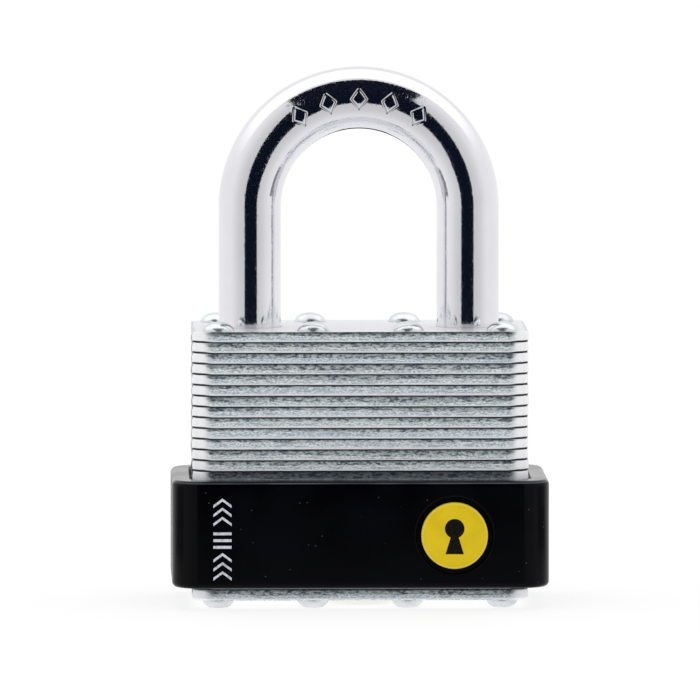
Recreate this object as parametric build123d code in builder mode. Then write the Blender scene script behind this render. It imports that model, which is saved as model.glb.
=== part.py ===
from build123d import *

import os
from math import cos, radians, sin

# Laminated padlock: riveted steel plates, a U shackle, a plastic bumper band and a pin tumbler
# cylinder that drives two bolts. Millimetres. The origin is below the centre of the body, on the
# surface that the lower rivet heads stand on. +X is to the right, +Y to the back, +Z up.
# The shackle is closed, and the cylinder is turned to the release position.

# Laminated body
BODY_WIDTH = 50.0
BODY_DEPTH = 25.0
BODY_CORNER = 2.5
PLATE = 1.6
PLATE_COUNT = 25
DIE_ROLL = 0.2
PLATE_BURR = 0.06
HOLE_FIT = 0.1

# Rivets
RIVET_PITCH = 14.1
RIVET_ROW_Y = 9.5
RIVET_PER_ROW = 4
SHANK_RADIUS = 1.5
SHANK_FIT = 0.05
HEAD_RADIUS = 2.4
HEAD_RIM = 0.3
HEAD_HEIGHT = 1.4
FOOT_HEIGHT = 1.25
FOOT_FLAT_RADIUS = 1.1

# Shackle
WIRE_RADIUS = 4.65
LEG_X = 16.28
BOW_CENTRE_HEIGHT = 57.93
TOE_DEPTH = 12.4
HEEL_DEPTH = 28.0
LEG_END_CHAMFER = 0.8
NOTCH_DEPTH = 2.15
NOTCH_MARGIN = 0.2
SHACKLE_TRAVEL = 14.5
FOOT_GAP = 0.15
NECK_MARGIN = 0.3
STOP_FLAT_DEPTH = 1.1

# Bumper band
BAND_WALL = 3.05
BAND_BOTTOM = 2.0
BAND_HEIGHT = 16.0
BAND_CORNER = 4.5
BAND_EDGE = 0.8
BAND_FIT = 0.1
BAND_MOUTH = 0.35

# Badge in the band
BADGE_X = 13.86
BADGE_HEIGHT = 9.9
BADGE_RADIUS = 4.95
BADGE_THICKNESS = 0.9
BADGE_EDGE = 0.2
RECESS_RADIUS = 5.8
RECESS_DEPTH = 1.0
RECESS_EDGE = 0.2

# Cylinder
PLUG_Y = -2.0
PLUG_RADIUS = 4.75
PLUG_FIT = 0.05
PLUG_FACE_HEIGHT = 0.25
PLUG_FACE_EDGE = 0.4
FLANGE_RADIUS = 5.4
FLANGE_THICKNESS = 0.9
TAIL_RADIUS = 3.4
TENON = 3.2
HOUSING_RADIUS = 6.2
BIBLE_WIDTH = 5.2
BIBLE_TOP_Y = 8.6
COVER_WIDTH = 3.8
COVER_THICKNESS = 0.8
KEYWAY_WIDTH = 1.8
KEYWAY_NEAR = 1.9
KEYWAY_FAR = 4.3
KEYWAY_LENGTH = 24.4
WARD_WIDTH = 0.55
WARD_REACH = 0.9

# Retaining clip
CLIP_THICKNESS = 0.66
CLIP_RADIUS = 5.4
CLIP_GROOVE_DEPTH = 0.5
CLIP_GAP_ANGLE = 70.0
CLIP_HEIGHT_BELOW_CAM = 1.05

# Pins
PIN_COUNT = 5
PIN_PITCH = 4.0
FIRST_PIN_HEIGHT = 5.6
PIN_RADIUS = 1.4
CHAMBER_RADIUS = 1.45
PLUG_CHAMBER_DEPTH = 5.5
PIN_END_CHAMFER = 0.25
KEY_PIN_OUTER_R = 4.48
KEY_PIN_LENGTHS = (3.4, 2.7, 3.9, 3.1, 2.9)
KEY_PIN_TIP = 0.8
KEY_PIN_TRAVEL = 1.0
DRIVER_LENGTH = 2.5
DRIVER_SPRING_RADIUS = 0.95
DRIVER_SPRING_WIRE = 0.13
DRIVER_SPRING_TURNS = 4

# Drive cam and bolts
CAM_RADIUS = 4.2
CAM_THICKNESS = 1.4
CAM_PIN_RADIUS = 0.8
CAM_PIN_THROW = 2.0
CAM_TURN = 90.0
BOLT_HEIGHT = 4.5
BOLT_HALF_WIDTH = 3.8
BOLT_HEAD_INNER_X = 6.0
BOLT_NOTCH_GAP = 0.15
BOLT_EDGE = 0.5
BOLT_ARM_LENGTH = 2.5
TAIL_GAP = 0.15
TAIL_WIDTH = 3.45
TAIL_END_WALL = 1.3
SLOT_FIT = 0.15
BOLT_SPRING_Y = 2.6
BOLT_SPRING_RADIUS = 0.65
BOLT_SPRING_WIRE = 0.15
BOLT_SPRING_TURNS = 14
SPRING_POCKET_RADIUS = 0.95
SPRING_POCKET_DEPTH = 1.5

# Ejector spring and stop pin
EJECTOR_RADIUS = 3.5
EJECTOR_WIRE = 0.45
EJECTOR_TURNS = 6
SPRING_END_GAP = 0.05
STOP_PIN_RADIUS = 0.75
STOP_PIN_LENGTH = 7.6
STOP_PIN_REACH = 0.9

# Levels in the stack, as numbers of plates counted from the bottom
FACE_PLATES = 1
HEEL_FLOOR_PLATES = 2
TOE_FLOOR_PLATES = 17
CYLINDER_TOP_PLATES = 18
CAM_TOP_PLATES = 19
BOLT_TOP_PLATES = 22


def level(plates):
    """Height of the top of that many plates."""
    return FOOT_HEIGHT + plates * PLATE


STACK_BOTTOM = level(0)
STACK_TOP = level(PLATE_COUNT)
BOLT_FLOOR = level(CAM_TOP_PLATES)
BOLT_CEILING = level(BOLT_TOP_PLATES)
BOLT_Z = (BOLT_FLOOR + BOLT_CEILING - BOLT_HEIGHT) / 2
BOW_Z = STACK_BOTTOM + BOW_CENTRE_HEIGHT
NOTCH_BOTTOM = BOLT_FLOOR - NOTCH_MARGIN
NOTCH_TOP = BOLT_CEILING + NOTCH_MARGIN
NECK_RADIUS = WIRE_RADIUS - NOTCH_DEPTH
STOP_PIN_Z = BOLT_FLOOR + PLATE / 2
STOP_PIN_X = -(LEG_X + WIRE_RADIUS) + STOP_PIN_REACH - STOP_PIN_RADIUS
NECK_BOTTOM = STOP_PIN_Z - STOP_PIN_RADIUS - FOOT_GAP - SHACKLE_TRAVEL
NECK_TOP = BOLT_CEILING + NECK_MARGIN - SHACKLE_TRAVEL
HEEL_END = STACK_TOP - HEEL_DEPTH
TOE_END = STACK_TOP - TOE_DEPTH
CAM_PIN_OFFSET = CAM_PIN_THROW * sin(radians(CAM_TURN / 2))
BOLT_TRAVEL = 2 * CAM_PIN_OFFSET
BOLT_TIP_THROWN = LEG_X - NECK_RADIUS - BOLT_NOTCH_GAP
BOLT_TIP = BOLT_TIP_THROWN - BOLT_TRAVEL
PLUG_BORE = PLUG_RADIUS + PLUG_FIT
BADGE_Z = STACK_BOTTOM + BADGE_HEIGHT
BAND_FRONT_Y = -(BODY_DEPTH / 2 + BAND_WALL)

os.makedirs("parts", exist_ok=True)
FINISHED = []


def save(builder, label):
    """Label a finished piece and write it to its own file."""
    builder.part.label = label
    export_step(builder.part, f"parts/{label}.step")
    FINISHED.append(builder.part)


def box_between(low, high):
    """A loose box from its lowest to its highest corner."""
    size = [b - a for a, b in zip(low, high)]
    centre = [(a + b) / 2 for a, b in zip(low, high)]
    return Pos(*centre) * Box(*size, mode=Mode.PRIVATE)


def circle_cut(plane_height, x, y, radius, depth):
    """Cut a round hole upwards into the current part."""
    with BuildSketch(Plane.XY.offset(plane_height)) as hole:
        with Locations((x, y)):
            Circle(radius)
    extrude(hole.sketch, amount=depth, mode=Mode.SUBTRACT)


def pear_sketch(height, extra):
    """Outline of the cylinder housing, grown by extra: a round barrel with a bible at its back."""
    with BuildSketch(Plane.XY.offset(height)) as outline:
        with Locations((0, PLUG_Y)):
            Circle(HOUSING_RADIUS + extra)
        with Locations((0, (PLUG_Y + BIBLE_TOP_Y + extra) / 2)):
            Rectangle(BIBLE_WIDTH + 2 * extra, BIBLE_TOP_Y + extra - PLUG_Y)
    return outline.sketch


def cut_bolt_cavity(height):
    """The hollow that the two bolts slide in, open to both shackle holes."""
    head_half = BOLT_HALF_WIDTH + TAIL_GAP
    reach = BOLT_TIP_THROWN + 2 * TAIL_GAP
    arm_front = PLUG_Y - TAIL_GAP - TAIL_WIDTH - TAIL_GAP
    arm_reach = BOLT_HEAD_INNER_X + BOLT_ARM_LENGTH + BOLT_TRAVEL + TAIL_GAP
    with BuildSketch(Plane.XY.offset(height)) as cavity:
        Rectangle(2 * reach, 2 * head_half)
        with Locations((0, (arm_front + head_half) / 2)):
            Rectangle(2 * arm_reach, head_half - arm_front)
    extrude(cavity.sketch, amount=PLATE, mode=Mode.SUBTRACT)


def make_plate(index):
    """One punched plate of the stack. The index counts from 0 at the bottom."""
    base = level(index)
    with BuildPart() as plate:
        with BuildSketch(Plane.XY.offset(base)):
            RectangleRounded(BODY_WIDTH, BODY_DEPTH, BODY_CORNER)
        extrude(amount=PLATE)
        fillet(plate.faces().sort_by(Axis.Z)[0].edges(), DIE_ROLL)
        chamfer(plate.faces().sort_by(Axis.Z)[-1].edges(), PLATE_BURR)
        with BuildSketch(Plane.XY.offset(base)):
            with GridLocations(RIVET_PITCH, 2 * RIVET_ROW_Y, RIVET_PER_ROW, 2):
                Circle(SHANK_RADIUS + SHANK_FIT)
        extrude(amount=PLATE, mode=Mode.SUBTRACT)
        if index >= HEEL_FLOOR_PLATES:
            circle_cut(base, -LEG_X, 0, WIRE_RADIUS + HOLE_FIT, PLATE)
        if index >= TOE_FLOOR_PLATES:
            circle_cut(base, LEG_X, 0, WIRE_RADIUS + HOLE_FIT, PLATE)
        if index < FACE_PLATES:
            circle_cut(base, 0, PLUG_Y, PLUG_RADIUS + HOLE_FIT, PLATE)
        elif index < CYLINDER_TOP_PLATES:
            extrude(pear_sketch(base, HOLE_FIT), amount=PLATE, mode=Mode.SUBTRACT)
        elif index < CAM_TOP_PLATES:
            circle_cut(base, 0, PLUG_Y, CAM_RADIUS + 2 * HOLE_FIT, PLATE)
        elif index < BOLT_TOP_PLATES:
            cut_bolt_cavity(base)
        if index == CAM_TOP_PLATES:
            slot_half = STOP_PIN_RADIUS + SHANK_FIT
            with BuildSketch(Plane.XY.offset(base)):
                with Locations((STOP_PIN_X, 0)):
                    Rectangle(2 * slot_half, STOP_PIN_LENGTH + 2 * HOLE_FIT)
            extrude(amount=PLATE, mode=Mode.SUBTRACT)
    save(plate, f"plate_{index + 1:02d}")


for plate_index in range(PLATE_COUNT):
    make_plate(plate_index)


# Rivets: a shank through the stack, a domed head above and a flattened head below
with BuildPart() as rivets:
    with BuildSketch(Plane.XZ) as rivet_half:
        with BuildLine():
            rim_top = STACK_TOP + HEAD_RIM
            foot_rim = STACK_BOTTOM - HEAD_RIM
            crown = (0, STACK_TOP + HEAD_HEIGHT)
            dome_height = HEAD_HEIGHT - HEAD_RIM
            dome_radius = (HEAD_RADIUS**2 + dome_height**2) / (2 * dome_height)
            dome_centre = STACK_TOP + HEAD_HEIGHT - dome_radius
            mid_r = HEAD_RADIUS * 0.6
            mid_z = dome_centre + (dome_radius**2 - mid_r**2) ** 0.5
            ThreePointArc(crown, (mid_r, mid_z), (HEAD_RADIUS, rim_top))
            foot_mid = (HEAD_RADIUS * 0.83, FOOT_HEIGHT * 0.36)
            Polyline(
                (HEAD_RADIUS, rim_top),
                (HEAD_RADIUS, STACK_TOP),
                (SHANK_RADIUS, STACK_TOP),
                (SHANK_RADIUS, STACK_BOTTOM),
                (HEAD_RADIUS, STACK_BOTTOM),
                (HEAD_RADIUS, foot_rim),
            )
            ThreePointArc((HEAD_RADIUS, foot_rim), foot_mid, (FOOT_FLAT_RADIUS, 0))
            Polyline((FOOT_FLAT_RADIUS, 0), (0, 0), crown)
        make_face()
    rivet = revolve(axis=Axis.Z, mode=Mode.PRIVATE)
    with GridLocations(RIVET_PITCH, 2 * RIVET_ROW_Y, RIVET_PER_ROW, 2):
        add(rivet)
save(rivets, "rivets")


# Shackle: heel leg at -X, toe leg at +X, joined by a half-circle bow
with BuildPart() as shackle:
    with BuildSketch(Plane.XY.offset(HEEL_END)):
        with Locations((-LEG_X, 0)):
            Circle(WIRE_RADIUS)
    extrude(amount=BOW_Z - HEEL_END)
    with BuildSketch(Plane.XY.offset(TOE_END)):
        with Locations((LEG_X, 0)):
            Circle(WIRE_RADIUS)
    extrude(amount=BOW_Z - TOE_END)
    leg_ends = shackle.faces().filter_by(Axis.Z).group_by(Axis.Z)
    end_edges = leg_ends[0].edges() + leg_ends[1].edges()
    chamfer(end_edges, LEG_END_CHAMFER)
    with BuildSketch(Plane.XY.offset(BOW_Z)):
        with Locations((LEG_X, 0)):
            Circle(WIRE_RADIUS)
    revolve(axis=Axis((0, 0, BOW_Z), (0, -1, 0)), revolution_arc=180)
    notch_x = LEG_X - NECK_RADIUS
    far = 2 * WIRE_RADIUS
    for side in (-1, 1):
        x_range = sorted((side * notch_x, side * (notch_x - far)))
        notch = box_between((x_range[0], -far, NOTCH_BOTTOM), (x_range[1], far, NOTCH_TOP))
        add(notch, mode=Mode.SUBTRACT)
    with BuildSketch(Plane.XY.offset(NECK_BOTTOM)):
        with Locations((-LEG_X, 0)):
            Circle(far)
            Circle(NECK_RADIUS, mode=Mode.SUBTRACT)
    extrude(amount=NECK_TOP - NECK_BOTTOM, mode=Mode.SUBTRACT)
    flat_x = -(LEG_X + WIRE_RADIUS - STOP_FLAT_DEPTH)
    flat_top = STOP_PIN_Z + STOP_PIN_RADIUS + NECK_MARGIN
    stop_flat = box_between((flat_x - far, -far, NECK_TOP), (flat_x, far, flat_top))
    add(stop_flat, mode=Mode.SUBTRACT)
save(shackle, "shackle")


# Stop pin: a dowel trapped in a slot of the lowest bolt plate, beside the heel leg
with BuildPart() as stop_pin:
    with BuildSketch(Plane.XZ.offset(-STOP_PIN_LENGTH / 2)):
        with Locations((STOP_PIN_X, STOP_PIN_Z)):
            Circle(STOP_PIN_RADIUS)
    extrude(amount=STOP_PIN_LENGTH)
    chamfer(stop_pin.edges().filter_by(GeomType.CIRCLE), STOP_PIN_RADIUS / 5)
save(stop_pin, "shackle_stop_pin")


# Bumper band: a moulded ring round the lower plates, with a round recess for the badge
with BuildPart() as bumper:
    with BuildSketch(Plane.XY.offset(STACK_BOTTOM + BAND_BOTTOM)):
        RectangleRounded(BODY_WIDTH + 2 * BAND_WALL, BODY_DEPTH + 2 * BAND_WALL, BAND_CORNER)
    extrude(amount=BAND_HEIGHT)
    band_faces = bumper.faces().sort_by(Axis.Z)
    fillet(band_faces[0].edges() + band_faces[-1].edges(), BAND_EDGE)
    with BuildSketch(Plane.XY.offset(STACK_BOTTOM + BAND_BOTTOM)):
        inner = (BODY_WIDTH + 2 * BAND_FIT, BODY_DEPTH + 2 * BAND_FIT)
        RectangleRounded(*inner, BODY_CORNER + BAND_FIT)
    extrude(amount=BAND_HEIGHT, mode=Mode.SUBTRACT)
    ring_faces = bumper.faces().filter_by(Axis.Z).sort_by(Axis.Z)
    mouths = ring_faces[0].inner_wires()[0].edges() + ring_faces[-1].inner_wires()[0].edges()
    chamfer(mouths, BAND_MOUTH)
    with BuildSketch(Plane.XZ.offset(-BAND_FRONT_Y)):
        with Locations((BADGE_X, BADGE_Z)):
            Circle(RECESS_RADIUS)
    extrude(amount=-RECESS_DEPTH, mode=Mode.SUBTRACT)
    rims = bumper.edges().filter_by(GeomType.CIRCLE).filter_by(lambda e: e.radius == RECESS_RADIUS)
    fillet(rims.sort_by(Axis.Y)[0], RECESS_EDGE)
save(bumper, "bumper")


# Badge: a coined disc glued into the recess
with BuildPart() as badge:
    with BuildSketch(Plane.XZ.offset(-BAND_FRONT_Y - RECESS_DEPTH)):
        with Locations((BADGE_X, BADGE_Z)):
            Circle(BADGE_RADIUS)
    extrude(amount=BADGE_THICKNESS)
    fillet(badge.faces().sort_by(Axis.Y)[0].edges(), BADGE_EDGE)
save(badge, "badge")


def pin_height(index):
    """Height of a pin chamber's axis."""
    return STACK_BOTTOM + FIRST_PIN_HEIGHT + index * PIN_PITCH


HOUSING_BOTTOM = level(FACE_PLATES)
HOUSING_TOP = level(CYLINDER_TOP_PLATES)
CLIP_Z = HOUSING_TOP - CLIP_HEIGHT_BELOW_CAM
CLIP_SEAT = CLIP_Z - FOOT_GAP
COVER_Y = BIBLE_TOP_Y - COVER_THICKNESS - PLUG_FIT
COVER_Z = (pin_height(0) - 2 * PIN_RADIUS, pin_height(PIN_COUNT - 1) + 2 * PIN_RADIUS)


# Cylinder housing: plug bore, pin chambers, and recesses for the flange, the clip and the cover
with BuildPart() as housing:
    extrude(pear_sketch(HOUSING_BOTTOM, 0), amount=HOUSING_TOP - HOUSING_BOTTOM)
    circle_cut(HOUSING_BOTTOM, 0, PLUG_Y, PLUG_BORE, HOUSING_TOP - HOUSING_BOTTOM)
    circle_cut(HOUSING_BOTTOM, 0, PLUG_Y, FLANGE_RADIUS + HOLE_FIT, FLANGE_THICKNESS + HOLE_FIT)
    circle_cut(CLIP_SEAT, 0, PLUG_Y, CLIP_RADIUS + HOLE_FIT, HOUSING_TOP - CLIP_SEAT)
    with BuildSketch(Plane.XZ.offset(-BIBLE_TOP_Y)):
        for pin_index in range(PIN_COUNT):
            with Locations((0, pin_height(pin_index))):
                Circle(CHAMBER_RADIUS)
    extrude(amount=BIBLE_TOP_Y - PLUG_Y, mode=Mode.SUBTRACT)
    cover_slot = box_between(
        (-COVER_WIDTH / 2 - PLUG_FIT, COVER_Y, COVER_Z[0] - PLUG_FIT),
        (COVER_WIDTH / 2 + PLUG_FIT, BIBLE_TOP_Y + 1, COVER_Z[1] + PLUG_FIT),
    )
    add(cover_slot, mode=Mode.SUBTRACT)
save(housing, "cylinder_housing")


# Cover strip over the pin chambers
with BuildPart() as cover:
    add(
        box_between(
            (-COVER_WIDTH / 2, COVER_Y, COVER_Z[0]),
            (COVER_WIDTH / 2, COVER_Y + COVER_THICKNESS, COVER_Z[1]),
        )
    )
    chamfer(cover.edges().filter_by(Axis.Z), COVER_THICKNESS / 4)
save(cover, "chamber_cover")


# Plug: its chambers point to -X at the release position and to the drivers when it is locked
with BuildPart() as plug:
    face_z = STACK_BOTTOM + PLUG_FACE_HEIGHT
    barrel_top = CLIP_SEAT - HOLE_FIT
    groove = TAIL_RADIUS - CLIP_GROOVE_DEPTH
    with BuildSketch(Plane.XZ.offset(-PLUG_Y)):
        with BuildLine():
            Polyline(
                (0, face_z),
                (PLUG_RADIUS - PLUG_FACE_EDGE, face_z),
                (PLUG_RADIUS, face_z + PLUG_FACE_EDGE),
                (PLUG_RADIUS, HOUSING_BOTTOM + PLUG_FIT),
                (FLANGE_RADIUS, HOUSING_BOTTOM + PLUG_FIT),
                (FLANGE_RADIUS, HOUSING_BOTTOM + FLANGE_THICKNESS),
                (PLUG_RADIUS, HOUSING_BOTTOM + FLANGE_THICKNESS),
                (PLUG_RADIUS, barrel_top),
                (TAIL_RADIUS, barrel_top),
                (TAIL_RADIUS, CLIP_Z),
                (groove, CLIP_Z),
                (groove, CLIP_Z + CLIP_THICKNESS + PLUG_FIT),
                (TAIL_RADIUS, CLIP_Z + CLIP_THICKNESS + PLUG_FIT),
                (TAIL_RADIUS, HOUSING_TOP),
                (0, HOUSING_TOP),
                close=True,
            )
        make_face()
    revolve(axis=Axis((0, PLUG_Y, 0), (0, 0, 1)))
    with BuildSketch(Plane.XY.offset(HOUSING_TOP)):
        with Locations((0, PLUG_Y)):
            Rectangle(TENON, TENON)
    extrude(amount=CAM_THICKNESS)
    with BuildSketch(Plane.YZ.offset(-PLUG_RADIUS)):
        for pin_index in range(PIN_COUNT):
            with Locations((PLUG_Y, pin_height(pin_index))):
                Circle(CHAMBER_RADIUS)
    extrude(amount=PLUG_CHAMBER_DEPTH, mode=Mode.SUBTRACT)
    with BuildSketch(Plane.XY.offset(face_z)):
        with Locations(((KEYWAY_FAR - KEYWAY_NEAR) / 2, PLUG_Y)):
            Rectangle(KEYWAY_FAR + KEYWAY_NEAR, KEYWAY_WIDTH)
        with Locations((KEYWAY_FAR / 2, PLUG_Y + KEYWAY_WIDTH / 2)):
            Rectangle(WARD_REACH, WARD_WIDTH, mode=Mode.SUBTRACT)
        with Locations((-KEYWAY_NEAR / 4, PLUG_Y - KEYWAY_WIDTH / 2)):
            Rectangle(WARD_REACH, WARD_WIDTH, mode=Mode.SUBTRACT)
    extrude(amount=KEYWAY_LENGTH, mode=Mode.SUBTRACT)
save(plug, "plug")


# Retaining clip: a C ring in the groove of the plug's tail
with BuildPart() as clip:
    with BuildSketch(Plane.XY.offset(CLIP_Z)):
        with Locations((0, PLUG_Y)):
            Circle(CLIP_RADIUS)
            Circle(groove + PLUG_FIT, mode=Mode.SUBTRACT)
        with BuildLine():
            mouth_x = 2 * CLIP_RADIUS * sin(radians(CLIP_GAP_ANGLE / 2))
            mouth_y = PLUG_Y - 2 * CLIP_RADIUS * cos(radians(CLIP_GAP_ANGLE / 2))
            Polyline((0, PLUG_Y), (-mouth_x, mouth_y), (mouth_x, mouth_y), close=True)
        make_face(mode=Mode.SUBTRACT)
    extrude(amount=CLIP_THICKNESS)
save(clip, "plug_clip")


# Drive cam: a disc on the plug's tenon, with two pins that move the bolts
with BuildPart() as cam:
    cam_z = HOUSING_TOP + PLUG_FIT
    with BuildSketch(Plane.XY.offset(cam_z)):
        with Locations((0, PLUG_Y)):
            Circle(CAM_RADIUS)
            Rectangle(TENON + PLUG_FIT, TENON + PLUG_FIT, mode=Mode.SUBTRACT)
    extrude(amount=CAM_THICKNESS)
    with BuildSketch(Plane.XY.offset(cam_z)):
        with Locations(
            (-CAM_PIN_OFFSET, PLUG_Y + CAM_PIN_OFFSET),
            (CAM_PIN_OFFSET, PLUG_Y - CAM_PIN_OFFSET),
        ):
            Circle(CAM_PIN_RADIUS)
    extrude(amount=BOLT_Z + BOLT_HEIGHT - NOTCH_MARGIN - cam_z)
    with BuildSketch(Plane.XY.offset(cam_z)):
        with Locations((0, PLUG_Y)):
            Rectangle(TENON + PLUG_FIT, TENON + PLUG_FIT)
    extrude(amount=CAM_THICKNESS, mode=Mode.SUBTRACT)
save(cam, "drive_cam")


def make_bolt(side, label):
    """A locking bolt: a head for the notch and a forked tail on one side of the plug's axis."""
    tail_near = PLUG_Y + side * TAIL_GAP
    tail_far = PLUG_Y + side * (TAIL_GAP + TAIL_WIDTH)
    tail_y = sorted((tail_near, tail_far))
    slot_x = -side * CAM_PIN_OFFSET
    slot_half = CAM_PIN_RADIUS + SLOT_FIT
    tail_end = slot_x - side * (slot_half + TAIL_END_WALL)
    slot_far = PLUG_Y + side * (CAM_PIN_THROW + CAM_PIN_RADIUS + SLOT_FIT)
    head_in = side * BOLT_HEAD_INNER_X
    head_out = side * BOLT_TIP
    arm_out = side * (BOLT_HEAD_INNER_X + BOLT_ARM_LENGTH)
    top = BOLT_Z + BOLT_HEIGHT
    with BuildPart() as bolt:
        x_range = sorted((head_in, head_out))
        add(
            box_between(
                (x_range[0], -BOLT_HALF_WIDTH, BOLT_Z),
                (x_range[1], BOLT_HALF_WIDTH, top),
            )
        )
        tip = bolt.faces().sort_by(Axis.X)[-1 if side > 0 else 0]
        fillet(tip.edges().filter_by(Axis.Z), BOLT_EDGE)
        x_range = sorted((head_in, arm_out))
        y_low = min(tail_y[0], -BOLT_HALF_WIDTH)
        add(box_between((x_range[0], y_low, BOLT_Z), (x_range[1], BOLT_HALF_WIDTH, top)))
        x_range = sorted((tail_end, head_in))
        add(box_between((x_range[0], tail_y[0], BOLT_Z), (x_range[1], tail_y[1], top)))
        y_range = sorted((tail_near - side, slot_far))
        fork = box_between(
            (slot_x - slot_half, y_range[0], BOLT_Z - 1),
            (slot_x + slot_half, y_range[1], top + 1),
        )
        add(fork, mode=Mode.SUBTRACT)
        pocket_plane = Plane(
            origin=(head_in, BOLT_SPRING_Y, BOLT_Z + BOLT_HEIGHT / 2), z_dir=(side, 0, 0)
        )
        with BuildSketch(pocket_plane):
            Circle(SPRING_POCKET_RADIUS)
        extrude(amount=SPRING_POCKET_DEPTH, mode=Mode.SUBTRACT)
    save(bolt, label)


make_bolt(-1, "bolt_left")
make_bolt(1, "bolt_right")


def make_spring(label, start, direction, length, radius, wire, turns):
    """A compression spring of round wire between two points on its axis."""
    coil_length = length - 2 * (wire + SPRING_END_GAP)
    seat = wire + SPRING_END_GAP
    first = Vector(*start) + Vector(*direction) * seat
    path = Helix(coil_length / turns, coil_length, radius, first, direction, mode=Mode.PRIVATE)
    with BuildPart() as spring:
        with BuildSketch(Plane(origin=path @ 0, z_dir=path % 0)):
            Circle(wire)
        sweep(path=path, is_frenet=True)
    save(spring, label)


def make_key_pin(index):
    """A key pin lying in the plug's chamber: a flat outer end and a pointed inner end."""
    length = KEY_PIN_LENGTHS[index]
    height = pin_height(index)
    with BuildPart() as pin:
        with BuildSketch(Plane.XY.offset(height)):
            with BuildLine():
                outer_x = -KEY_PIN_OUTER_R
                tip_x = outer_x + length
                Polyline(
                    (outer_x, PLUG_Y),
                    (outer_x, PLUG_Y + PIN_RADIUS - PIN_END_CHAMFER),
                    (outer_x + PIN_END_CHAMFER, PLUG_Y + PIN_RADIUS),
                    (tip_x - KEY_PIN_TIP, PLUG_Y + PIN_RADIUS),
                    (tip_x, PLUG_Y + PIN_RADIUS / 3),
                    (tip_x, PLUG_Y),
                    close=True,
                )
            make_face()
        revolve(axis=Axis((0, PLUG_Y, height), (1, 0, 0)))
    save(pin, f"key_pin_{index + 1}")


def make_driver(index):
    """A driver pin on the plug's surface, and the spring behind it."""
    height = pin_height(index)
    inner_y = PLUG_Y + PLUG_RADIUS + PLUG_FIT
    outer_y = inner_y + DRIVER_LENGTH
    with BuildPart() as driver:
        with BuildSketch(Plane.XZ.offset(-inner_y)):
            with Locations((0, height)):
                Circle(PIN_RADIUS)
        extrude(amount=-DRIVER_LENGTH)
        chamfer(driver.edges().filter_by(GeomType.CIRCLE), PIN_END_CHAMFER)
    save(driver, f"driver_pin_{index + 1}")
    make_spring(
        f"driver_spring_{index + 1}",
        (0, outer_y, height),
        (0, 1, 0),
        COVER_Y - outer_y,
        DRIVER_SPRING_RADIUS,
        DRIVER_SPRING_WIRE,
        DRIVER_SPRING_TURNS,
    )


for pin_index in range(PIN_COUNT):
    make_key_pin(pin_index)
    make_driver(pin_index)


spring_half = BOLT_HEAD_INNER_X + SPRING_POCKET_DEPTH
make_spring(
    "bolt_spring",
    (-spring_half, BOLT_SPRING_Y, BOLT_Z + BOLT_HEIGHT / 2),
    (1, 0, 0),
    2 * spring_half,
    BOLT_SPRING_RADIUS,
    BOLT_SPRING_WIRE,
    BOLT_SPRING_TURNS,
)
heel_floor = level(HEEL_FLOOR_PLATES)
make_spring(
    "ejector_spring",
    (-LEG_X, 0, heel_floor),
    (0, 0, 1),
    HEEL_END - heel_floor,
    EJECTOR_RADIUS,
    EJECTOR_WIRE,
    EJECTOR_TURNS,
)

whole = Compound(children=FINISHED).bounding_box()
print("size", round(whole.size.X, 3), round(whole.size.Y, 3), round(whole.size.Z, 3))
print("lowest point", round(whole.min.Z, 4))
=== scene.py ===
import math

import bpy
import numpy as np
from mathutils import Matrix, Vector
from mathutils.geometry import delaunay_2d_cdt


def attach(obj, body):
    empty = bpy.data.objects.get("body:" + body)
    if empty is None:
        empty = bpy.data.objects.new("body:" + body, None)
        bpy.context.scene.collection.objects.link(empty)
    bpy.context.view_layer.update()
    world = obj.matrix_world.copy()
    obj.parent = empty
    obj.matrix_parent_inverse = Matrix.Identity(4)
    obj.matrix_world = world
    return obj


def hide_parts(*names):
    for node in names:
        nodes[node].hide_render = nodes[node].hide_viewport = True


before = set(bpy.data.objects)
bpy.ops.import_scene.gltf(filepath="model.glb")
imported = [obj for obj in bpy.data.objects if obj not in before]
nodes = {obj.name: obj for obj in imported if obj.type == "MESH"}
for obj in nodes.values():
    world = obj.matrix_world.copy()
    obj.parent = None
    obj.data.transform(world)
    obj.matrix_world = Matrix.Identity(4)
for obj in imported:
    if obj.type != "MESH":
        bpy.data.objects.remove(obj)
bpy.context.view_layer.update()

# Lengths of the pieces are written in millimetres, as in the CAD source, and scaled once.
MM = 0.001

# Dimensions repeated from the CAD source, in the row frame
BODY_HALF = (25.0, 12.5)
BODY_CORNER = 2.5
PLATE = 1.6
PLATE_COUNT = 25
STACK_BOTTOM = 1.25
STACK_TOP = STACK_BOTTOM + PLATE * PLATE_COUNT
PLUG_Y = -2.0
LEG_X = 16.28
WIRE_RADIUS = 4.65
BOW_Z = 59.18
NECK_RADIUS = 2.5
RIVET_X = (-21.15, -7.05, 7.05, 21.15)
RIVET_Y = (-9.5, 9.5)
SHANK_RADIUS = 1.5
BAND_FRONT = -15.55
BAND_TOP = 19.25
BADGE_CENTRE = (13.86, 11.15)
BADGE_RADIUS = 4.95


# ---------------------------------------------------------------- small tools


def smoothstep(low, high, value):
    t = np.clip((np.asarray(value, float) - low) / (high - low), 0, 1)
    return t * t * (3 - 2 * t)


def drift(s, total, cell, rng):
    """Smooth random values from -1 to 1 along a closed line of that length."""
    count = max(3, round(total / cell))
    knots = rng.uniform(-1, 1, count)
    t = s / total * count
    i = np.floor(t).astype(int)
    f = smoothstep(0, 1, t - i)
    return knots[i % count] * (1 - f) + knots[(i + 1) % count] * f


def ring_quads(rows, count, first=0):
    """Quads between consecutive closed rings of points, outward for rings that rise."""
    faces = []
    for r in range(rows - 1):
        a = first + r * count
        b = a + count
        for i in range(count):
            j = (i + 1) % count
            faces.append((a + i, a + j, b + j, b + i))
    return faces


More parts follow.
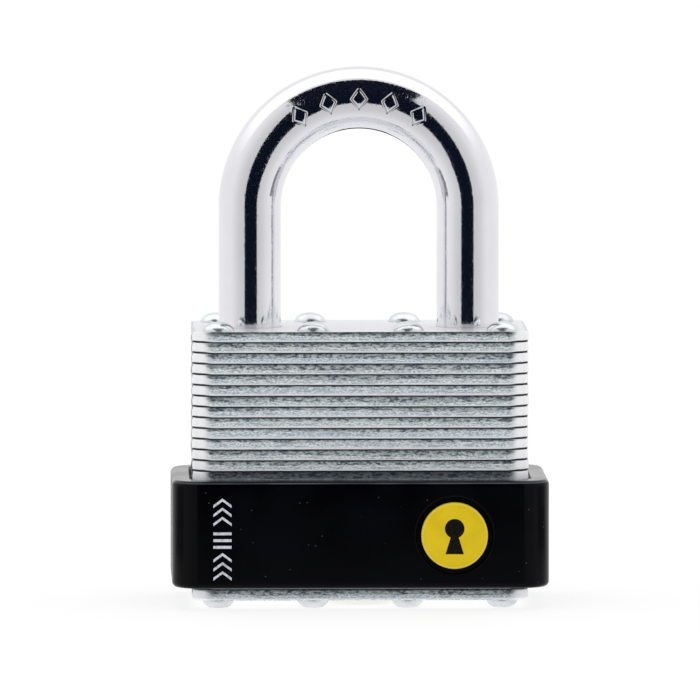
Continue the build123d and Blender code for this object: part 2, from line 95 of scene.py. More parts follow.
def make_piece(name, points, faces, material, sharp=32.0, attributes=None):
    """A mesh object from points in millimetres, smooth apart from edges sharper than that angle."""
    mesh = bpy.data.meshes.new(name)
    mesh.from_pydata([tuple(p) for p in np.asarray(points, float) * MM], [], faces)
    for key, values in (attributes or {}).items():
        layer = mesh.attributes.new(key, "FLOAT", "POINT")
        layer.data.foreach_set("value", np.asarray(values, np.float32))
    mesh.polygons.foreach_set("use_smooth", [True] * len(mesh.polygons))
    mesh.set_sharp_from_angle(angle=math.radians(sharp))
    mesh.materials.append(material)
    mesh.update()
    piece = bpy.data.objects.new(name, mesh)
    bpy.context.scene.collection.objects.link(piece)
    return piece


# ---------------------------------------------------------------- node materials


def map_range(tree, value, low, high, to_low=0.0, to_high=1.0):
    """A value mapped smoothly from one range to another."""
    node = tree.nodes.new("ShaderNodeMapRange")
    node.interpolation_type = "SMOOTHSTEP"
    numbers = {"From Min": low, "From Max": high, "To Min": to_low, "To Max": to_high}
    for key, number in numbers.items():
        node.inputs[key].default_value = number
    tree.links.new(value, node.inputs["Value"])
    return node.outputs["Result"]


def calculate(tree, operation, a, b):
    """The result of a Math node on two sockets or numbers."""
    node = tree.nodes.new("ShaderNodeMath")
    node.operation = operation
    for socket, value in zip(node.inputs, (a, b)):
        if isinstance(value, (int, float)):
            socket.default_value = value
        else:
            tree.links.new(value, socket)
    return node.outputs[0]


class Shade:
    """A principled material under construction, with short calls for its nodes."""

    def __init__(self, name, **constants):
        self.material = bpy.data.materials.new(name)
        self.material.use_nodes = True
        self.tree = self.material.node_tree
        self.shader = self.tree.nodes["Principled BSDF"]
        for key, value in constants.items():
            self.shader.inputs[key.replace("_", " ")].default_value = value
        self.place = self.tree.nodes.new("ShaderNodeTexCoord").outputs["Object"]

    def link(self, source, target):
        self.tree.links.new(source, target)

    def scaled(self, x, y, z):
        """Object coordinates multiplied per axis."""
        node = self.tree.nodes.new("ShaderNodeMapping")
        node.inputs["Scale"].default_value = (x, y, z)
        self.link(self.place, node.inputs["Vector"])
        return node.outputs["Vector"]

    def noise(self, scale, detail=3.0, rough=0.5, vector=None):
        node = self.tree.nodes.new("ShaderNodeTexNoise")
        node.inputs["Scale"].default_value = scale
        node.inputs["Detail"].default_value = detail
        node.inputs["Roughness"].default_value = rough
        self.link(vector or self.place, node.inputs["Vector"])
        return node.outputs["Fac"]

    def cells(self, scale):
        node = self.tree.nodes.new("ShaderNodeTexVoronoi")
        node.inputs["Scale"].default_value = scale
        self.link(self.place, node.inputs["Vector"])
        return node.outputs["Distance"]

    def attribute(self, name):
        node = self.tree.nodes.new("ShaderNodeAttribute")
        node.attribute_name = name
        return node.outputs["Fac"]

    def ramp(self, value, low, high, to_low=0.0, to_high=1.0):
        return map_range(self.tree, value, low, high, to_low, to_high)

    def math(self, operation, a, b):
        return calculate(self.tree, operation, a, b)

    def blend(self, factor, a, b):
        """A colour between two, each a socket or three numbers."""
        node = self.tree.nodes.new("ShaderNodeMix")
        node.data_type = "RGBA"
        self.link(factor, node.inputs["Factor"])
        for socket, value in ((node.inputs[6], a), (node.inputs[7], b)):
            if isinstance(value, tuple):
                socket.default_value = (*value, 1.0)
            else:
                self.link(value, socket)
        return node.outputs[2]

    def bump(self, height, strength, depth, under=None):
        node = self.tree.nodes.new("ShaderNodeBump")
        node.inputs["Strength"].default_value = strength
        node.inputs["Distance"].default_value = depth
        self.link(height, node.inputs["Height"])
        if under:
            self.link(under, node.inputs["Normal"])
        return node.outputs["Normal"]

    def done(self, colour=None, rough=None, normal=None):
        for key, socket in (("Base Color", colour), ("Roughness", rough), ("Normal", normal)):
            if socket:
                self.link(socket, self.shader.inputs[key])
        return self.material


def plate_steel():
    """Zinced steel with rolled lines where it is worn, a torn zone, painted shade in a black seam and
    painted highlights where polished.
    """
    s = Shade("plate_steel")
    patches = s.noise(150, 4, 0.6)
    grain = s.noise(1.0, 3, 0.65, s.scaled(2700, 2700, 6200))
    rolled = s.noise(1.0, 3, 0.6, s.scaled(420, 420, 5200))
    specks = s.noise(1.0, 3, 0.7, s.scaled(1500, 1500, 3600))
    fracture = s.attribute("fracture")
    seam = s.attribute("seam")
    polish_and_sheen = s.attribute("polish_and_sheen")
    worn = s.math("SUBTRACT", 1.0, polish_and_sheen)
    zinc = s.blend(s.attribute("batch"), (0.80, 0.87, 0.97), (0.88, 0.94, 0.90))
    zinc = s.blend(s.ramp(patches, 0.35, 0.65, 0.5, 0.0), zinc, (0.80, 0.85, 0.89))
    scored = s.math("MULTIPLY", s.ramp(rolled, 0.28, 0.60, 0.75, 0.0), worn)
    zinc = s.blend(scored, zinc, (0.34, 0.41, 0.47))
    spotted = s.math("MULTIPLY", s.ramp(grain, 0.36, 0.56, 0.70, 0.0), worn)
    zinc = s.blend(spotted, zinc, (0.22, 0.29, 0.34))
    bright = s.math("MULTIPLY", s.ramp(grain, 0.54, 0.66, 0.0, 0.8), worn)
    zinc = s.blend(bright, zinc, (1.0, 1.0, 1.0))
    # Near-white where polished: the faces, the corners, where it is partly a painted reflection, and a
    # painted highlight on the row above each lower seam
    zinc = s.blend(polish_and_sheen, zinc, (0.95, 0.95, 0.96))
    torn = s.blend(s.ramp(specks, 0.36, 0.62), (0.08, 0.11, 0.15), (0.62, 0.69, 0.68))
    colour = s.blend(s.ramp(fracture, 0.1, 0.9), zinc, torn)
    # Painted shade: near-black in the seams between plates and on the plate above the band; also
    # darker torn edges just past each corner
    colour = s.blend(seam, colour, (0.004, 0.006, 0.018))
    rough = s.ramp(grain, 0.3, 0.7, 0.32, 0.46)
    rough = s.math("MAXIMUM", rough, s.math("MULTIPLY", fracture, 0.66))
    s.link(s.ramp(seam, 0.0, 0.8, 0.34, 0.0), s.shader.inputs["Metallic"])
    s.link(s.ramp(seam, 0.0, 0.8, 0.40, 0.02), s.shader.inputs["Specular IOR Level"])
    normal = s.bump(rolled, 0.25, 0.00005)
    depth = s.math("MULTIPLY", grain, s.math("ADD", fracture, s.math("MULTIPLY", worn, 0.5)))
    normal = s.bump(depth, 0.5, 0.00009, normal)
    return s.done(colour, rough, normal)


def shackle_chrome():
    s = Shade("shackle_chrome", Metallic=1.0)
    clouds = s.noise(90, 3, 0.5)
    pits = s.noise(2600, 2, 0.6)
    wave = s.noise(240, 2, 0.4)
    colour = s.blend(s.ramp(clouds, 0.3, 0.7), (0.83, 0.825, 0.87), (0.88, 0.88, 0.915))
    colour = s.blend(s.attribute("engraved"), colour, (0.52, 0.54, 0.58))
    rough = s.ramp(pits, 0.35, 0.75, 0.06, 0.14)
    normal = s.bump(wave, 0.12, 0.00008)
    normal = s.bump(s.ramp(pits, 0.56, 0.74), 0.16, 0.00002, normal)
    return s.done(colour, rough, normal)


def rivet_steel():
    s = Shade("rivet_steel", Metallic=0.85)
    clouds = s.noise(420, 3, 0.6)
    grain = s.noise(3000, 2, 0.6)
    colour = s.blend(s.ramp(clouds, 0.35, 0.7), (0.82, 0.85, 0.86), (0.68, 0.72, 0.73))
    rough = s.ramp(grain, 0.3, 0.7, 0.18, 0.28)
    normal = s.bump(clouds, 0.15, 0.00010)
    normal = s.bump(grain, 0.2, 0.00003, normal)
    return s.done(colour, rough, normal)


def bumper_plastic():
    s = Shade("bumper_plastic")
    clouds = s.noise(120, 3, 0.55)
    grain = s.noise(5200, 2, 0.5)
    lint = s.cells(620)
    colour = s.blend(s.ramp(clouds, 0.3, 0.7), (0.0004, 0.0005, 0.0010), (0.0010, 0.0012, 0.0022))
    colour = s.blend(s.ramp(lint, 0.07, 0.03), colour, (0.06, 0.06, 0.065))
    # A lighter line along the moulded upper edge, a painted highlight on its fillet that is partly a
    # rubbed edge, and a top face that reflects more
    split = s.tree.nodes.new("ShaderNodeSeparateXYZ")
    s.link(s.place, split.inputs[0])
    height, top = split.outputs["Z"], BAND_TOP * MM
    up = s.ramp(height, top - 0.00043, top - 0.00033)
    down = s.ramp(height, top - 0.00029, top - 0.00017, 1.0, 0.0)
    rubbed_highlight = s.math("MULTIPLY", s.math("MULTIPLY", up, down), s.ramp(clouds, 0.25, 0.6, 0.35, 0.9))
    colour = s.blend(rubbed_highlight, colour, (0.10, 0.10, 0.13))
    gloss = s.ramp(height, top - 0.00025, top - 0.00005, 0.09, 0.22)
    s.link(gloss, s.shader.inputs["Specular IOR Level"])
    rough = s.ramp(clouds, 0.3, 0.7, 0.14, 0.21)
    normal = s.bump(grain, 0.10, 0.00002)
    return s.done(colour, rough, normal)


def badge_yellow():
    s = Shade("badge_yellow", Specular_IOR_Level=0.22)
    clouds = s.noise(260, 3, 0.5)
    grain = s.noise(4200, 2, 0.6)
    colour = s.blend(s.ramp(clouds, 0.3, 0.7), (0.69, 0.49, 0.002), (0.76, 0.55, 0.004))
    colour = s.blend(s.ramp(grain, 0.30, 0.48, 0.12, 0.0), colour, (0.42, 0.29, 0.002))
    # A painted highlight: lighter yellow on the raised rim
    colour = s.blend(s.attribute("rim"), colour, (0.74, 0.58, 0.05))
    rough = s.ramp(grain, 0.3, 0.7, 0.30, 0.42)
    normal = s.bump(grain, 0.15, 0.00002)
    return s.done(colour, rough, normal)


def print_paint(name, thick, thin, rough_low, rough_high):
    """A printed layer of paint that is a little uneven."""
    s = Shade(name, Specular_IOR_Level=0.15)
    spots = s.noise(2600, 3, 0.6)
    colour = s.blend(s.ramp(spots, 0.40, 0.70), thick, thin)
    rough = s.ramp(spots, 0.3, 0.7, rough_low, rough_high)
    normal = s.bump(spots, 0.2, 0.00001)
    return s.done(colour, rough, normal)


def brass(name, bright, dull, rough_low, rough_high, turned=False):
    s = Shade(name, Metallic=1.0)
    clouds = s.noise(240, 4, 0.6)
    grain = s.noise(2600, 2, 0.6)
    colour = s.blend(s.ramp(clouds, 0.35, 0.70), bright, dull)
    rough = s.ramp(grain, 0.3, 0.7, rough_low, rough_high)
    normal = s.bump(grain, 0.2, 0.00003)
    if turned:
        # Tool marks in rings round the plug's axis
        wave = s.tree.nodes.new("ShaderNodeTexWave")
        wave.wave_type = "RINGS"
        wave.rings_direction = "Z"
        wave.inputs["Scale"].default_value = 2600
        wave.inputs["Distortion"].default_value = 1.5
        shift = s.tree.nodes.new("ShaderNodeMapping")
        shift.inputs["Location"].default_value = (0, -PLUG_Y * MM, 0)
        s.link(s.place, shift.inputs["Vector"])
        s.link(shift.outputs["Vector"], wave.inputs["Vector"])
        normal = s.bump(wave.outputs["Fac"], 0.25, 0.00002, normal)
    return s.done(colour, rough, normal)


def machined(name, bright, dull, rough_low, rough_high):
    """Bare or plated steel of the inner pieces."""
    s = Shade(name, Metallic=1.0)
    clouds = s.noise(300, 4, 0.6)
    lines = s.noise(1.0, 2, 0.5, s.scaled(300, 4200, 4200))
    colour = s.blend(s.ramp(clouds, 0.35, 0.7), bright, dull)
    rough = s.ramp(lines, 0.3, 0.7, rough_low, rough_high)
    normal = s.bump(lines, 0.25, 0.00003)
    return s.done(colour, rough, normal)


materials = {
    "plate_steel": plate_steel(),
    "shackle_chrome": shackle_chrome(),
    "rivet_steel": rivet_steel(),
    "bumper_plastic": bumper_plastic(),
    "badge_yellow": badge_yellow(),
    "print_white": print_paint("print_white", (0.66, 0.67, 0.76), (0.38, 0.38, 0.44), 0.45, 0.6),
    "print_black": print_paint("print_black", (0.003, 0.003, 0.002), (0.010, 0.008, 0.003), 0.3, 0.42),
    "housing_brass": brass("housing_brass", (0.72, 0.53, 0.24), (0.52, 0.36, 0.15), 0.28, 0.45),
    "plug_brass": brass("plug_brass", (0.80, 0.60, 0.28), (0.58, 0.41, 0.17), 0.20, 0.36, True),
    "pin_brass": brass("pin_brass", (0.82, 0.63, 0.31), (0.64, 0.46, 0.21), 0.16, 0.30),
    "bolt_steel": machined("bolt_steel", (0.62, 0.63, 0.64), (0.42, 0.43, 0.44), 0.22, 0.40),
    "spring_steel": machined("spring_steel", (0.56, 0.57, 0.59), (0.36, 0.37, 0.38), 0.18, 0.32),
}

# Every CAD node first takes the worked material of its own slot.
for node in nodes.values():
    for index, slot in enumerate(node.material_slots):
        slot.material = materials[node.data.materials[index].name.split(".")[0]]


# ---------------------------------------------------------------- punched plates

OUTLINE_STEP = 0.2
CAP_INSET = 0.48
CORNER_FADE = 0.9
CORNER_FADE_SHIFT = 0.2
TEAR_REACH = 2.2
PLATE_SHIFT = 0.05
HOLE_FIT = 0.1
SHANK_HOLE = 1.55
PLUG_HOLE = 4.85
CAM_HOLE = 4.4
PEAR_RADIUS = 6.3
PEAR_HALF_WIDTH = 2.7
PEAR_TOP_Y = 8.7
CAVITY_HALF = (13.93, 3.95)
CAVITY_ARM = (11.48, -5.75)
STOP_SLOT = (-20.78, 0.8, 3.9)
HOLE_SEGMENTS = 72
SHANK_SEGMENTS = 28

# Plates are counted from 0 at the bottom.
HEEL_HOLE_FROM = 2
TOE_HOLE_FROM = 17
CAM_PLATE = 18
STOP_PLATE = 19
CAVITY_END = 22
ABOVE_BAND = 11
TOP_PLATE = PLATE_COUNT - 1

# Rows of a plate's edge are counted from its lower face.
# The row just above the lower seam carries a painted highlight.
HIGHLIGHT_ROW = 3
TORN_FROM = 6

PLATE_SEED = 4100
BURNISHED_SHARE = (0.48, 0.84)
# The plate above the band gets a wider torn zone, which adds to its painted shade
DARK_PLATE_SHARE = 0.38
FACE_POLISH = 0.85
# Share of the near-white colour on the row above each lower seam, a painted highlight
LOWER_PAINTED_HIGHLIGHT = 0.75
# How much darker the torn edge is just past each corner
CORNER_TEAR_DARKNESS = 0.75


def rounded_outline(half, corner, step):
    """Points, outward normals, distance along, total length, and distance from the nearest end
    of a corner arc, below zero on the arc."""
    points, normals, away = [], [], []
    arc_count = max(8, math.ceil(corner * math.pi / 2 / step))
    for k, (sx, sy) in enumerate(((1, 1), (-1, 1), (-1, -1), (1, -1))):
        centre = np.array([sx * (half[0] - corner), sy * (half[1] - corner)])
        for i in range(arc_count + 1):
            angle = math.radians(90 * (k + i / arc_count))
            direction = np.array([math.cos(angle), math.sin(angle)])
            points.append(centre + corner * direction)
            normals.append(direction)
            away.append(-corner * math.pi / 2 * min(i, arc_count - i) / arc_count)
        length = 2 * (half[0] - corner if k % 2 == 0 else half[1] - corner)
        along = np.array([(-1, 0), (0, -1), (1, 0), (0, 1)][k])
        count = math.ceil(length / step)
        start = points[-1]
        for i in range(1, count):
            d = length * i / count
            points.append(start + along * d)
            normals.append(direction)
            away.append(min(d, length - d))
    points = np.array(points)
    steps = np.linalg.norm(np.diff(points, axis=0, append=points[:1]), axis=1)
    along = np.concatenate([[0], np.cumsum(steps)[:-1]])
    return points, np.array(normals), along, steps.sum(), np.array(away)


def circle(x, y, radius, count=HOLE_SEGMENTS):
    a = np.arange(count) * 2 * math.pi / count
    return np.stack([x + radius * np.cos(a), y + radius * np.sin(a)], axis=1)


def rectangle(x0, y0, x1, y1):
    return np.array([(x0, y0), (x1, y0), (x1, y1), (x0, y1)], float)


def plate_holes(index):
    """Closed outlines of what is punched out of a plate. They may overlap."""
    holes = [circle(x, y, SHANK_HOLE, SHANK_SEGMENTS) for x in RIVET_X for y in RIVET_Y]
    if index >= HEEL_HOLE_FROM:
        holes.append(circle(-LEG_X, 0, WIRE_RADIUS + HOLE_FIT))
    if index >= TOE_HOLE_FROM:
        holes.append(circle(LEG_X, 0, WIRE_RADIUS + HOLE_FIT))
    if index == 0:
        holes.append(circle(0, PLUG_Y, PLUG_HOLE))
    elif index < CAM_PLATE:
        holes.append(circle(0, PLUG_Y, PEAR_RADIUS))
        holes.append(rectangle(-PEAR_HALF_WIDTH, PLUG_Y, PEAR_HALF_WIDTH, PEAR_TOP_Y))
    elif index == CAM_PLATE:
        holes.append(circle(0, PLUG_Y, CAM_HOLE))
    elif index < CAVITY_END:
        x, y = CAVITY_HALF
        holes.append(rectangle(-x, -y, x, y))
        holes.append(rectangle(-CAVITY_ARM[0], CAVITY_ARM[1], CAVITY_ARM[0], y))
    if index == STOP_PLATE:
        x, half_x, half_y = STOP_SLOT
        holes.append(rectangle(x - half_x, -half_y, x + half_x, half_y))
    return holes


def inside(point, loop):
    """Whether a point lies in a convex outline that runs anticlockwise."""
    a, b = loop, np.roll(loop, -1, axis=0)
    cross = (b[:, 0] - a[:, 0]) * (point[1] - a[:, 1]) - (b[:, 1] - a[:, 1]) * (point[0] - a[:, 0])
    return bool((cross >= 0).all())


def punched_sheet(outline, holes):
    """Points and triangles of a flat sheet with holes, the edges of the holes, and the point that
    stands for each point of the outline."""
    loops = [outline, *holes]
    points, edges = [], []
    for loop in loops:
        first = len(points)
        points += [Vector(p) for p in loop]
        edges += [(first + i, first + (i + 1) % len(loop)) for i in range(len(loop))]
    found = delaunay_2d_cdt(points, edges, [], 0, 1e-6)
    flat = np.array([tuple(p) for p in found[0]])
    kept = []
    for tri in found[2]:
        middle = flat[list(tri)].mean(axis=0)
        if not any(inside(middle, hole) for hole in holes):
            kept.append(tuple(tri))
    sides = [(tri[i], tri[(i + 1) % 3]) for tri in kept for i in range(3)]
    known = set(sides)
    order = {v: i for i, ids in enumerate(found[3]) for v in ids if v < len(outline)}
    outer = set(order.values())
    border = []
    for a, b in sides:
        if (b, a) not in known and not (a in outer and b in outer):
            border.append((a, b))
    return flat, kept, border, [order[v] for v in range(len(outline))]


OUTLINE, NORMALS, ALONG, ROUND, AWAY = rounded_outline(BODY_HALF, BODY_CORNER, OUTLINE_STEP)
CORNER_SHARE = 1 - smoothstep(-CORNER_FADE, CORNER_FADE, AWAY + CORNER_FADE_SHIFT)
CORNER_TEAR = np.exp(-np.clip(AWAY, 0, None) / TEAR_REACH) * (1 - CORNER_SHARE)
CAP = OUTLINE - NORMALS * CAP_INSET
sheets = {}


def edge_profiles(index, rng):
    """Height and inset of each row of an edge, along the sides and round the corners, and the
    plate's own shift. A rolled lower edge is followed by a burnished band and a torn zone."""

    def waver(cell):
        return drift(ALONG, ROUND, cell, rng)

    mean = DARK_PLATE_SHARE if index == ABOVE_BAND else rng.uniform(*BURNISHED_SHARE)
    bound = mean + 0.10 * waver(11) + 0.05 * waver(2.6)
    bound += 0.03 * waver(0.8)
    bound = PLATE * np.clip(bound, 0.35, 0.93)
    left = PLATE - bound
    torn = 0.075 + 0.03 * waver(3.0) + 0.03 * waver(0.6)
    shove = 0.015 * waver(25) - NORMALS @ rng.uniform(-1, 1, 2) * PLATE_SHIFT
    straight = [
        (0.0, 0.24),
        (0.03, 0.17),
        (0.12, 0.07),
        (0.19, 0.0),
        (bound * 0.5, 0.0),
        (bound, 0.0),
        (bound + 0.03, 0.6 * torn),
        (bound + 0.30 * left, torn + 0.030 * waver(0.45)),
        (bound + 0.60 * left, torn + 0.030 * waver(0.45)),
        (PLATE - 0.05, torn + 0.03 + 0.030 * waver(0.45)),
        (PLATE, torn + 0.10),
    ]
    corner = [
        (0.0, 0.44),
        (0.06, 0.32),
        (0.26, 0.13),
        (0.34, 0.0),
        (0.60, 0.0),
        (1.00, 0.0),
        (1.32, 0.0),
        (PLATE - 0.12, 0.004),
        (PLATE - 0.06, 0.025),
        (PLATE - 0.02, 0.065),
        (PLATE, 0.14),
    ]
    return straight, corner, shove


def edge_darkness(index):
    """How dark each row of an edge is, from the lower seam to the upper one: painted shade in the
    seams and on the plate above the band, and a dark line near the top plate's upper edge.
    """
    dark = [1.0, 1.0, 0.9, 0.0, 0.0, 0.0, 0.0, 0.05, 0.22, 0.65, 1.0]
    if index == 0:
        dark[:3] = [0.0, 0.0, 0.0]
    if index == TOP_PLATE:
        dark[7:] = [0.1, 0.6, 1.0, 0.0]
    # Painted shade from the band on the plate just above it
    if index == ABOVE_BAND:
        dark[4:10] = [0.62, 0.70, 0.74, 0.78, 0.82, 0.90]
    return dark


def plate_mesh(rows, sheet, base):
    """Points and faces of a plate: rings up its edge, a punched sheet at both faces and the walls
    of the holes. The outer points of the sheets are those of the first and the last ring."""
    flat, triangles, border, order = sheet
    edge = np.concatenate(rows)
    inner = [v for v in range(len(flat)) if v not in set(order)]
    low_id = {v: len(edge) + i for i, v in enumerate(inner)}
    top_id = {v: len(edge) + len(inner) + i for i, v in enumerate(inner)}
    for i, v in enumerate(order):
        low_id[v] = i
        top_id[v] = len(edge) - len(OUTLINE) + i
    parts = [edge]
    for height in (base, base + PLATE):
        parts.append(np.column_stack([flat[inner], np.full(len(inner), height)]))
    faces = ring_quads(len(rows), len(OUTLINE))
    faces += [(low_id[a], low_id[c], low_id[b]) for a, b, c in triangles]
    faces += [(top_id[a], top_id[b], top_id[c]) for a, b, c in triangles]
    faces += [(low_id[b], low_id[a], top_id[a], top_id[b]) for a, b in border]
    return np.concatenate(parts), faces


def make_plate(index):
    """A punched plate, with attributes for its torn zone, its dark rows with painted shade, its
    polished zones with painted highlights, and its own tint.
    """
    rng = np.random.default_rng(PLATE_SEED + index)
    straight, corner, shove = edge_profiles(index, rng)
    dark = edge_darkness(index)
    n = len(OUTLINE)
    c = CORNER_SHARE
    # The ends of the top plate are clean; its long sides are torn.
    worn = np.abs(NORMALS[:, 1]) if index == TOP_PLATE else np.ones(n)
    base = STACK_BOTTOM + index * PLATE
    rows = [np.column_stack([CAP, np.full(n, base)])]
    fracture, seam, polish_and_sheen = [np.zeros(n)], [np.zeros(n)], [np.full(n, FACE_POLISH)]
    for k, ((z_s, in_s), (z_c, in_c)) in enumerate(zip(straight, corner)):
        z = z_s * (1 - c) + z_c * c
        inset = in_s * (1 - c) + in_c * c + shove
        rows.append(np.column_stack([OUTLINE - NORMALS * inset[:, None], base + z]))
        fracture.append((1 - c) * worn if k >= TORN_FROM else np.zeros(n))
        # Darkness of each row: painted shade in the seams and above the band, and a darker torn edge
        # just past each corner
        darkness = np.full(n, dark[k])
        if k > HIGHLIGHT_ROW:
            tear = CORNER_TEAR * (CORNER_TEAR_DARKNESS if TORN_FROM < k < len(dark) - 1 else 0)
            darkness = np.maximum(darkness * (1 - c), tear) * worn
        seam.append(darkness)
        # Corners take the polished colour, partly a painted reflection; the row above the lower seam
        # takes a painted highlight
        polish_and_sheen.append(np.maximum(c, LOWER_PAINTED_HIGHLIGHT if k == HIGHLIGHT_ROW else 0.0))
    rows.append(np.column_stack([CAP, np.full(n, base + PLATE)]))
    fracture.append(np.zeros(n))
    seam.append(np.zeros(n))
    polish_and_sheen.append(np.full(n, FACE_POLISH))

    holes = plate_holes(index)
    key = b"".join(hole.tobytes() for hole in holes)
    if key not in sheets:
        sheets[key] = punched_sheet(CAP, holes)
    points, faces = plate_mesh(rows, sheets[key], base)
    blank = np.zeros(len(points) - len(rows) * n)
    attributes = {
        "fracture": np.concatenate([*fracture, blank]),
        "seam": np.concatenate([*seam, blank]),
        "polish_and_sheen": np.concatenate([*polish_and_sheen, blank + FACE_POLISH]),
        "batch": np.full(len(points), rng.uniform(0, 1)),
    }
    name = f"plate_{index + 1:02d}"
    piece = make_piece(f"punched_{name}", points, faces, materials["plate_steel"], 40, attributes)
    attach(piece, "lock_body")
    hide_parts(name)


# The plates that the band hides keep their CAD shape.
for plate_index in (0, 1, *range(ABOVE_BAND, PLATE_COUNT)):
    make_plate(plate_index)


# ---------------------------------------------------------------- shackle

HEEL_END = 13.25
TOE_END = 28.85
END_CHAMFER = 0.8
NECK_LOW = 17.05
NECK_HIGH = 22.25
NOTCH_LOW = 31.45
NOTCH_HIGH = 36.65
NOTCH_FLAT = -2.5
STOP_FLAT = 3.55
STOP_FLAT_TOP = 33.5
BROKEN_EDGE = 0.1
PLAIN_LEG_FROM = 38.0
PLAIN_LEG_STEP = 1.4

MARK_ANGLES = (-33.0, -16.6, -0.2, 16.2, 32.6)
MARK_HALF = (1.15, 1.55)
MARK_REACH = 2.2
MARK_DEPTH = 0.085
MARK_FLOOR = 0.02
MARK_EDGE = 0.21
MARK_TINT = (0.02, 0.068)
LIP_MIDDLE = 0.27
LIP_WIDTH = 0.07
LIP_RISE = 0.012

# Degrees along the bow and round the wire where the mesh is finer, and its steps there
FINE_BOW = 39.0
FINE_BOW_STEP = 0.36
COARSE_BOW_COUNT = 34
FINE_ROUND = 26.0
FINE_ROUND_STEP = 1.2
COARSE_ROUND_COUNT = 78


def shackle_sections():
    """Angles round the wire, from the outer side over the front, closer together at the front."""
    fine = np.arange(90 - FINE_ROUND, 90 + FINE_ROUND, FINE_ROUND_STEP)
    rest = np.linspace(90 + FINE_ROUND, 450 - FINE_ROUND, COARSE_ROUND_COUNT, endpoint=False)
    return np.radians(np.concatenate([fine, rest]))


def mark_distance(u, v):
    """Distance to the outline of a lozenge centred on the origin."""
    corners = ((MARK_HALF[0], 0), (0, MARK_HALF[1]), (-MARK_HALF[0], 0), (0, -MARK_HALF[1]))
    best = np.full(np.shape(v), 9.0)
    for k in range(4):
        ax, ay = corners[k]
        bx, by = corners[(k + 1) % 4]
        dx, dy = bx - ax, by - ay
        t = np.clip(((u - ax) * dx + (v - ay) * dy) / (dx * dx + dy * dy), 0, 1)
        best = np.minimum(best, np.hypot(u - ax - t * dx, v - ay - t * dy))
    return best


def mark_relief(degrees, v):
    """Depth of the sunk lozenges, with raised lips, across the wire at that angle of the bow."""
    depth = np.zeros(len(v))
    for centre in MARK_ANGLES:
        u = LEG_X * math.radians(degrees - centre)
        if abs(u) < MARK_REACH:
            d = mark_distance(u, v)
            cut = MARK_DEPTH * (1 - smoothstep(MARK_FLOOR, MARK_EDGE, d))
            lip = LIP_RISE * np.exp(-(((d - LIP_MIDDLE) / LIP_WIDTH) ** 2))
            depth = np.maximum(depth, cut) - lip
    return depth


def leg_profiles():
    """Rows of the heel leg and the toe leg from their ends up: height, radius, and how far the
    wire reaches towards the other leg, below zero, and away from it."""
    wire, far = WIRE_RADIUS, math.inf
    rim = -wire + BROKEN_EDGE
    notch_upper_edge = [
        (NOTCH_HIGH, wire, NOTCH_FLAT, far),
        (NOTCH_HIGH, wire, rim, far),
        (NOTCH_HIGH + BROKEN_EDGE, wire, -far, far),
    ]
    heel = [
        (HEEL_END, wire - END_CHAMFER, -far, far),
        (HEEL_END + END_CHAMFER, wire, -far, far),
        (NECK_LOW - BROKEN_EDGE / 2, wire, -far, far),
        (NECK_LOW, wire - BROKEN_EDGE / 2, -far, far),
        (NECK_LOW, NECK_RADIUS, -far, far),
        (NECK_HIGH, NECK_RADIUS, -far, far),
        (NECK_HIGH, wire, -far, STOP_FLAT),
        (NOTCH_LOW, wire, -far, STOP_FLAT),
        (NOTCH_LOW, wire, NOTCH_FLAT, STOP_FLAT),
        (STOP_FLAT_TOP, wire, NOTCH_FLAT, STOP_FLAT),
        (STOP_FLAT_TOP, wire, NOTCH_FLAT, far),
        *notch_upper_edge,
    ]
    toe = [
        (TOE_END, wire - END_CHAMFER, -far, far),
        (TOE_END + END_CHAMFER, wire, -far, far),
        (NOTCH_LOW - BROKEN_EDGE, wire, -far, far),
        (NOTCH_LOW, wire, rim, far),
        (NOTCH_LOW, wire, NOTCH_FLAT, far),
        *notch_upper_edge,
    ]
    heights = np.arange(PLAIN_LEG_FROM, BOW_Z - 0.5, PLAIN_LEG_STEP)
    plain = [(z, wire, -far, far) for z in heights]
    return heel + plain, toe + plain


def make_shackle():
    """One closed wire from the heel leg's end over the bow to the toe leg's end."""
    phi = shackle_sections()
    n = len(phi)
    cos_phi, sin_phi = np.cos(phi), np.sin(phi)
    v = WIRE_RADIUS * (phi - math.pi / 2)
    heel, toe = leg_profiles()
    rows, marks = [], []

    def leg_row(side, z, radius, low, high):
        out = np.clip(radius * cos_phi, low, high)
        rows.append(np.column_stack([side * (LEG_X + out), -radius * sin_phi, np.full(n, z)]))
        marks.append(np.zeros(n))

    for row in heel:
        leg_row(-1, *row)
    fine = np.arange(-FINE_BOW, FINE_BOW, FINE_BOW_STEP)
    coarse = np.linspace(-90, -FINE_BOW, COARSE_BOW_COUNT, endpoint=False)
    for degrees in np.concatenate([coarse, fine, -coarse[::-1]]):
        theta = math.radians(degrees)
        depth = mark_relief(degrees, v)
        radius = WIRE_RADIUS - depth
        reach = LEG_X + radius * cos_phi
        height = BOW_Z + reach * math.cos(theta)
        rows.append(np.column_stack([reach * math.sin(theta), -radius * sin_phi, height]))
        marks.append(smoothstep(*MARK_TINT, depth))
    for row in reversed(toe):
        leg_row(1, *row)
    first = len(rows) * n
    points = np.concatenate([*rows, [[-LEG_X, 0, HEEL_END], [LEG_X, 0, TOE_END]]])
    faces = [tuple(reversed(f)) for f in ring_quads(len(rows), n)]
    end = first - n
    faces += [(first, i, (i + 1) % n) for i in range(n)]
    faces += [(first + 1, end + (i + 1) % n, end + i) for i in range(n)]
    attributes = {"engraved": np.concatenate([*marks, [0, 0]])}
    piece = make_piece("shackle_wire", points, faces, materials["shackle_chrome"], 34, attributes)
    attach(piece, "shackle")
    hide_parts("shackle")


make_shackle()


# ---------------------------------------------------------------- rivets

